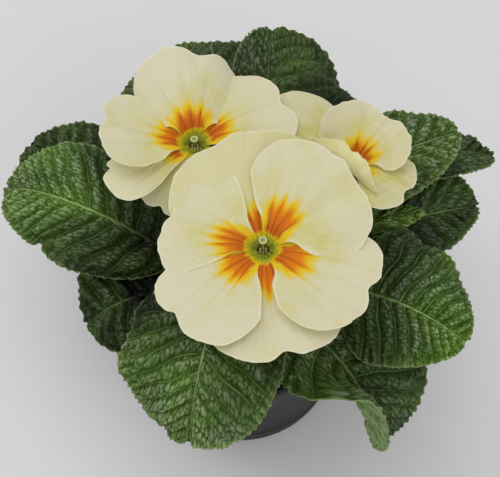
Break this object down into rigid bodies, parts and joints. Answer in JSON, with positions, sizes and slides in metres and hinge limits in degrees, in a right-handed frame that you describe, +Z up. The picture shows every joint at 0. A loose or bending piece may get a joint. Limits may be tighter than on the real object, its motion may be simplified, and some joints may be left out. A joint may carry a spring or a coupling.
{
  "type": "potted primrose",
  "caption": "Potted primrose: a rosette of crinkled, toothed leaves and cream flowers with orange eyes in a plain dark nursery pot.",
  "frame": {"origin": "middle of the pot's flat underside", "axes": "+Z up along the pot's axis, +X to the right and +Y away from the viewer who faces the plant's front"},
  "size_m": [0.1663, 0.1439, 0.1375],
  "materials": {
    "pot_plastic": "dark grey moulded pot plastic, slightly dull",
    "peat": null,
    "leaf_green": null,
    "stalk_green": null,
    "petal_cream": null,
    "anther_tan": null,
    "pistil_green": null
  },
  "bodies": {
    "root": {"pot": "pot_plastic", "soil": "peat", "leaf_01": "leaf_green", "leaf_02": "leaf_green", "leaf_03": "leaf_green", "leaf_04": "leaf_green", "leaf_05": "leaf_green", "leaf_06": "leaf_green", "leaf_07": "leaf_green", "leaf_08": "leaf_green", "leaf_09": "leaf_green", "leaf_10": "leaf_green", "leaf_11": "leaf_green", "leaf_12": "leaf_green", "stalk_front": "stalk_green", "stalk_left": "stalk_green", "stalk_right": "stalk_green", "corolla_front": "petal_cream", "corolla_left": "petal_cream", "corolla_right": "petal_cream", "stamens_front": "anther_tan", "stamens_left": "anther_tan", "stamens_right": "anther_tan", "pistil_front": "pistil_green", "pistil_left": "pistil_green", "pistil_right": "pistil_green"}
  },
  "joints": []
}
